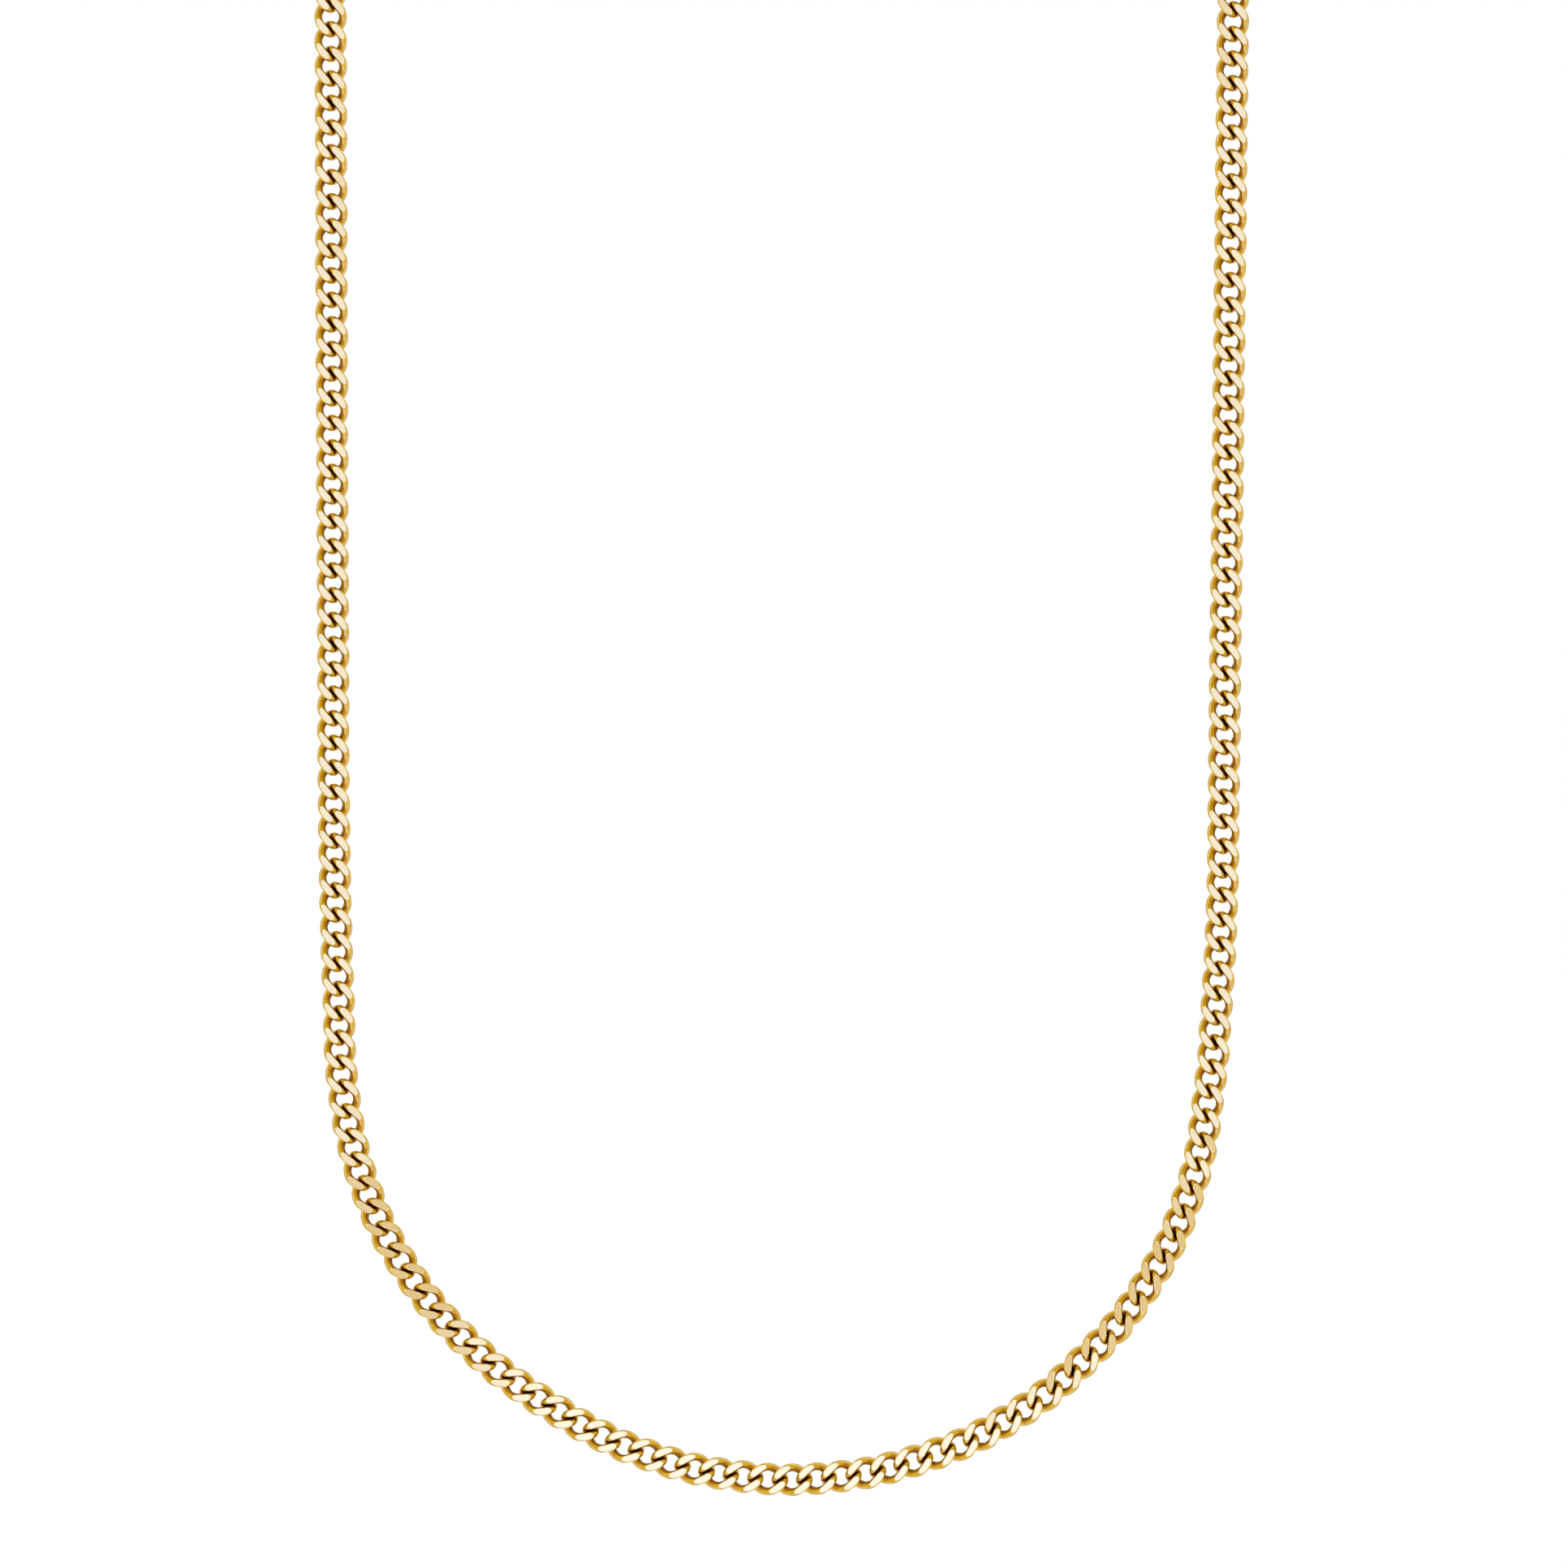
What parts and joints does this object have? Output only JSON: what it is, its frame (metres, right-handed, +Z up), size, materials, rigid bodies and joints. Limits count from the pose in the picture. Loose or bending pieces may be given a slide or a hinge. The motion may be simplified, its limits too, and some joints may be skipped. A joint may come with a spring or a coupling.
{
  "type": "chain necklace",
  "caption": "Flat curb-link chain necklace laid out in a U, with a sprung lobster clasp on one end and a round ring on the other.",
  "frame": {"origin": "middle of the necklace's box, on the surface that it lies on", "axes": "+Z up from the surface, +Y from the lowest point of the curve towards the two loose ends, +X across to the end with the plain ring"},
  "size_m": [0.1156, 0.2566, 0.0038],
  "materials": {
    "gold_chain": "polished yellow gold, ground flat on both faces",
    "gold_fittings": "polished yellow gold, cast and wire-formed",
    "spring_steel": "bright spring steel strip"
  },
  "bodies": {
    "chain_middle": {"chain_middle": "gold_chain"},
    "chain_left_01": {"chain_left_01": "gold_chain"},
    "chain_left_02": {"chain_left_02": "gold_chain"},
    "chain_left_03": {"chain_left_03": "gold_chain"},
    "chain_left_04": {"chain_left_04": "gold_chain"},
    "chain_left_05": {"chain_left_05": "gold_chain"},
    "chain_left_06": {"chain_left_06": "gold_chain"},
    "chain_left_07": {"chain_left_07": "gold_chain"},
    "chain_left_08": {"chain_left_08": "gold_chain"},
    "chain_left_09": {"chain_left_09": "gold_chain"},
    "chain_left_10": {"chain_left_10": "gold_chain"},
    "chain_left_11": {"chain_left_11": "gold_chain"},
    "chain_left_12": {"chain_left_12": "gold_chain"},
    "chain_left_13": {"chain_left_13": "gold_chain"},
    "chain_left_14": {"chain_left_14": "gold_chain"},
    "chain_left_15": {"chain_left_15": "gold_chain"},
    "chain_left_16": {"chain_left_16": "gold_chain"},
    "chain_left_17": {"chain_left_17": "gold_chain"},
    "chain_left_18": {"chain_left_18": "gold_chain"},
    "chain_left_19": {"chain_left_19": "gold_chain"},
    "chain_left_20": {"chain_left_20": "gold_chain"},
    "chain_left_21": {"chain_left_21": "gold_chain"},
    "chain_left_22": {"chain_left_22": "gold_chain"},
    "chain_right_01": {"chain_right_01": "gold_chain"},
    "chain_right_02": {"chain_right_02": "gold_chain"},
    "chain_right_03": {"chain_right_03": "gold_chain"},
    "chain_right_04": {"chain_right_04": "gold_chain"},
    "chain_right_05": {"chain_right_05": "gold_chain"},
    "chain_right_06": {"chain_right_06": "gold_chain"},
    "chain_right_07": {"chain_right_07": "gold_chain"},
    "chain_right_08": {"chain_right_08": "gold_chain"},
    "chain_right_09": {"chain_right_09": "gold_chain"},
    "chain_right_10": {"chain_right_10": "gold_chain"},
    "chain_right_11": {"chain_right_11": "gold_chain"},
    "chain_right_12": {"chain_right_12": "gold_chain"},
    "chain_right_13": {"chain_right_13": "gold_chain"},
    "chain_right_14": {"chain_right_14": "gold_chain"},
    "chain_right_15": {"chain_right_15": "gold_chain"},
    "chain_right_16": {"chain_right_16": "gold_chain"},
    "chain_right_17": {"chain_right_17": "gold_chain"},
    "chain_right_18": {"chain_right_18": "gold_chain"},
    "chain_right_19": {"chain_right_19": "gold_chain"},
    "chain_right_20": {"chain_right_20": "gold_chain"},
    "chain_right_21": {"chain_right_21": "gold_chain"},
    "chain_right_22": {"chain_right_22": "gold_chain"},
    "clasp_jump_ring": {"clasp_jump_ring": "gold_fittings"},
    "clasp": {"clasp_body": "gold_fittings", "clasp_pin": "gold_fittings", "clasp_spring": "spring_steel"},
    "clasp_lever": {"clasp_lever": "gold_fittings"},
    "end_ring": {"end_ring": "gold_fittings"}
  },
  "joints": [
    {"name": "swing_left_01", "type": "hinge", "parent": "chain_middle", "child": "chain_left_01", "pos_m": [-0.00612, -0.12584, 0.00086], "axis": [0, 0, 1], "range_deg": [-20, 20]},
    {"name": "tilt_left_02", "type": "hinge", "parent": "chain_left_01", "child": "chain_left_02", "pos_m": [-0.01771, -0.12288, 0.00086], "axis": [0.3617, 0.9323, 0], "range_deg": [-18, 18]},
    {"name": "swing_left_03", "type": "hinge", "parent": "chain_left_02", "child": "chain_left_03", "pos_m": [-0.02833, -0.11734, 0.00086], "axis": [0, 0, -1], "range_deg": [-20, 20]},
    {"name": "tilt_left_04", "type": "hinge", "parent": "chain_left_03", "child": "chain_left_04", "pos_m": [-0.03787, -0.11008, 0.00086], "axis": [-0.6826, -0.7308, 0], "range_deg": [-18, 18]},
    {"name": "swing_left_05", "type": "hinge", "parent": "chain_left_04", "child": "chain_left_05", "pos_m": [-0.04557, -0.10092, 0.00086], "axis": [0, 0, -1], "range_deg": [-20, 20]},
    {"name": "tilt_left_06", "type": "hinge", "parent": "chain_left_05", "child": "chain_left_06", "pos_m": [-0.05086, -0.09019, 0.00086], "axis": [-0.9435, -0.3314, 0], "range_deg": [-18, 18]},
    {"name": "swing_left_07", "type": "hinge", "parent": "chain_left_06", "child": "chain_left_07", "pos_m": [-0.05338, -0.07849, 0.00086], "axis": [0, 0, 1], "range_deg": [-20, 20]},
    {"name": "tilt_left_08", "type": "hinge", "parent": "chain_left_07", "child": "chain_left_08", "pos_m": [-0.054, -0.06651, 0.00086], "axis": [0.9992, 0.0396, 0], "range_deg": [-18, 18]},
    {"name": "swing_left_09", "type": "hinge", "parent": "chain_left_08", "child": "chain_left_09", "pos_m": [-0.05438, -0.05452, 0.00086], "axis": [0, 0, 1], "range_deg": [-20, 20]},
    {"name": "tilt_left_10", "type": "hinge", "parent": "chain_left_09", "child": "chain_left_10", "pos_m": [-0.05455, -0.04252, 0.00086], "axis": [1, 0.0061, 0], "range_deg": [-18, 18]},
    {"name": "swing_left_11", "type": "hinge", "parent": "chain_left_10", "child": "chain_left_11", "pos_m": [-0.0546, -0.03052, 0.00086], "axis": [0, 0, -1], "range_deg": [-20, 20]},
    {"name": "tilt_left_12", "type": "hinge", "parent": "chain_left_11", "child": "chain_left_12", "pos_m": [-0.05465, -0.01852, 0.00086], "axis": [-1, -0.004, 0], "range_deg": [-18, 18]},
    {"name": "swing_left_13", "type": "hinge", "parent": "chain_left_12", "child": "chain_left_13", "pos_m": [-0.0547, -0.00652, 0.00086], "axis": [0, 0, -1], "range_deg": [-20, 20]},
    {"name": "tilt_left_14", "type": "hinge", "parent": "chain_left_13", "child": "chain_left_14", "pos_m": [-0.05475, 0.00548, 0.00086], "axis": [-1, -0.004, 0], "range_deg": [-18, 18]},
    {"name": "swing_left_15", "type": "hinge", "parent": "chain_left_14", "child": "chain_left_15", "pos_m": [-0.0548, 0.01748, 0.00086], "axis": [0, 0, 1], "range_deg": [-20, 20]},
    {"name": "tilt_left_16", "type": "hinge", "parent": "chain_left_15", "child": "chain_left_16", "pos_m": [-0.05484, 0.02948, 0.00086], "axis": [1, 0.004, 0], "range_deg": [-18, 18]},
    {"name": "swing_left_17", "type": "hinge", "parent": "chain_left_16", "child": "chain_left_17", "pos_m": [-0.05489, 0.04148, 0.00086], "axis": [0, 0, 1], "range_deg": [-20, 20]},
    {"name": "tilt_left_18", "type": "hinge", "parent": "chain_left_17", "child": "chain_left_18", "pos_m": [-0.05494, 0.05348, 0.00086], "axis": [1, 0.004, 0], "range_deg": [-18, 18]},
    {"name": "swing_left_19", "type": "hinge", "parent": "chain_left_18", "child": "chain_left_19", "pos_m": [-0.05499, 0.06548, 0.00086], "axis": [0, 0, -1], "range_deg": [-20, 20]},
    {"name": "tilt_left_20", "type": "hinge", "parent": "chain_left_19", "child": "chain_left_20", "pos_m": [-0.05504, 0.07748, 0.00086], "axis": [-1, -0.004, 0], "range_deg": [-18, 18]},
    {"name": "swing_left_21", "type": "hinge", "parent": "chain_left_20", "child": "chain_left_21", "pos_m": [-0.05509, 0.08948, 0.00091], "axis": [-0.0001, 0.0169, -0.9999], "range_deg": [-20, 20]},
    {"name": "tilt_left_22", "type": "hinge", "parent": "chain_left_21", "child": "chain_left_22", "pos_m": [-0.05513, 0.10148, 0.00131], "axis": [-1, -0.004, 0], "range_deg": [-18, 18]},
    {"name": "swing_right_01", "type": "hinge", "parent": "chain_middle", "child": "chain_right_01", "pos_m": [0.00586, -0.12615, 0.00086], "axis": [0, 0, 1], "range_deg": [-20, 20]},
    {"name": "tilt_right_02", "type": "hinge", "parent": "chain_right_01", "child": "chain_right_02", "pos_m": [0.01757, -0.12368, 0.00086], "axis": [0.3156, -0.9489, 0], "range_deg": [-18, 18]},
    {"name": "swing_right_03", "type": "hinge", "parent": "chain_right_02", "child": "chain_right_03", "pos_m": [0.02842, -0.11862, 0.00086], "axis": [0, 0, -1], "range_deg": [-20, 20]},
    {"name": "tilt_right_04", "type": "hinge", "parent": "chain_right_03", "child": "chain_right_04", "pos_m": [0.03774, -0.11111, 0.00086], "axis": [-0.7107, 0.7035, 0], "range_deg": [-18, 18]},
    {"name": "swing_right_05", "type": "hinge", "parent": "chain_right_04", "child": "chain_right_05", "pos_m": [0.04517, -0.10173, 0.00086], "axis": [0, 0, -1], "range_deg": [-20, 20]},
    {"name": "tilt_right_06", "type": "hinge", "parent": "chain_right_05", "child": "chain_right_06", "pos_m": [0.05004, -0.0908, 0.00086], "axis": [-0.9598, 0.2808, 0], "range_deg": [-18, 18]},
    {"name": "swing_right_07", "type": "hinge", "parent": "chain_right_06", "child": "chain_right_07", "pos_m": [0.05223, -0.07902, 0.00086], "axis": [0, 0, 1], "range_deg": [-20, 20]},
    {"name": "tilt_right_08", "type": "hinge", "parent": "chain_right_07", "child": "chain_right_08", "pos_m": [0.05324, -0.06707, 0.00086], "axis": [0.998, -0.0627, 0], "range_deg": [-18, 18]},
    {"name": "swing_right_09", "type": "hinge", "parent": "chain_right_08", "child": "chain_right_09", "pos_m": [0.0538, -0.05508, 0.00086], "axis": [0, 0, 1], "range_deg": [-20, 20]},
    {"name": "tilt_right_10", "type": "hinge", "parent": "chain_right_09", "child": "chain_right_10", "pos_m": [0.05402, -0.04308, 0.00086], "axis": [0.9999, -0.0117, 0], "range_deg": [-18, 18]},
    {"name": "swing_right_11", "type": "hinge", "parent": "chain_right_10", "child": "chain_right_11", "pos_m": [0.05416, -0.03108, 0.00086], "axis": [0, 0, -1], "range_deg": [-20, 20]},
    {"name": "tilt_right_12", "type": "hinge", "parent": "chain_right_11", "child": "chain_right_12", "pos_m": [0.0543, -0.01908, 0.00086], "axis": [-0.9999, 0.0117, 0], "range_deg": [-18, 18]},
    {"name": "swing_right_13", "type": "hinge", "parent": "chain_right_12", "child": "chain_right_13", "pos_m": [0.05444, -0.00708, 0.00086], "axis": [0, 0, -1], "range_deg": [-20, 20]},
    {"name": "tilt_right_14", "type": "hinge", "parent": "chain_right_13", "child": "chain_right_14", "pos_m": [0.05458, 0.00492, 0.00086], "axis": [-0.9999, 0.0117, 0], "range_deg": [-18, 18]},
    {"name": "swing_right_15", "type": "hinge", "parent": "chain_right_14", "child": "chain_right_15", "pos_m": [0.05472, 0.01691, 0.00086], "axis": [0, 0, 1], "range_deg": [-20, 20]},
    {"name": "tilt_right_16", "type": "hinge", "parent": "chain_right_15", "child": "chain_right_16", "pos_m": [0.05486, 0.02891, 0.00086], "axis": [0.9999, -0.0117, 0], "range_deg": [-18, 18]},
    {"name": "swing_right_17", "type": "hinge", "parent": "chain_right_16", "child": "chain_right_17", "pos_m": [0.055, 0.04091, 0.00086], "axis": [0, 0, 1], "range_deg": [-20, 20]},
    {"name": "tilt_right_18", "type": "hinge", "parent": "chain_right_17", "child": "chain_right_18", "pos_m": [0.05514, 0.05291, 0.00086], "axis": [0.9999, -0.0117, 0], "range_deg": [-18, 18]},
    {"name": "swing_right_19", "type": "hinge", "parent": "chain_right_18", "child": "chain_right_19", "pos_m": [0.05528, 0.06491, 0.00086], "axis": [0, 0, -1], "range_deg": [-20, 20]},
    {"name": "tilt_right_20", "type": "hinge", "parent": "chain_right_19", "child": "chain_right_20", "pos_m": [0.05542, 0.07691, 0.00086], "axis": [-0.9999, 0.0117, 0], "range_deg": [-18, 18]},
    {"name": "swing_right_21", "type": "hinge", "parent": "chain_right_20", "child": "chain_right_21", "pos_m": [0.05556, 0.08891, 0.00092], "axis": [0.0002, 0.0188, -0.9998], "range_deg": [-20, 20]},
    {"name": "tilt_right_22", "type": "hinge", "parent": "chain_right_21", "child": "chain_right_22", "pos_m": [0.0557, 0.10091, 0.00137], "axis": [-0.9999, 0.0117, 0], "range_deg": [-18, 18]},
    {"name": "clasp_ring_lift", "type": "hinge", "parent": "chain_left_22", "child": "clasp_jump_ring", "pos_m": [-0.05518, 0.11276, 0.00176], "axis": [1, 0.004, 0], "range_deg": [-20, 20]},
    {"name": "clasp_fold", "type": "hinge", "parent": "clasp_jump_ring", "child": "clasp", "pos_m": [-0.05519, 0.11548, 0.00188], "axis": [1, 0.004, 0], "range_deg": [-35, 35]},
    {"name": "clasp_lever_press", "type": "hinge", "parent": "clasp", "child": "clasp_lever", "pos_m": [-0.05541, 0.12047, 0.00168], "axis": [-0.0002, 0.0419, 0.9991], "range_deg": [-26, 0], "stiffness_Nm_per_rad": 0.01, "springref_deg": 11.46, "deforming": ["clasp_spring"]},
    {"name": "end_ring_lean", "type": "hinge", "parent": "chain_right_22", "child": "end_ring", "pos_m": [0.05586, 0.11465, 0.00188], "axis": [0.0117, 0.9999, 0], "range_deg": [0, 40]}
  ]
}
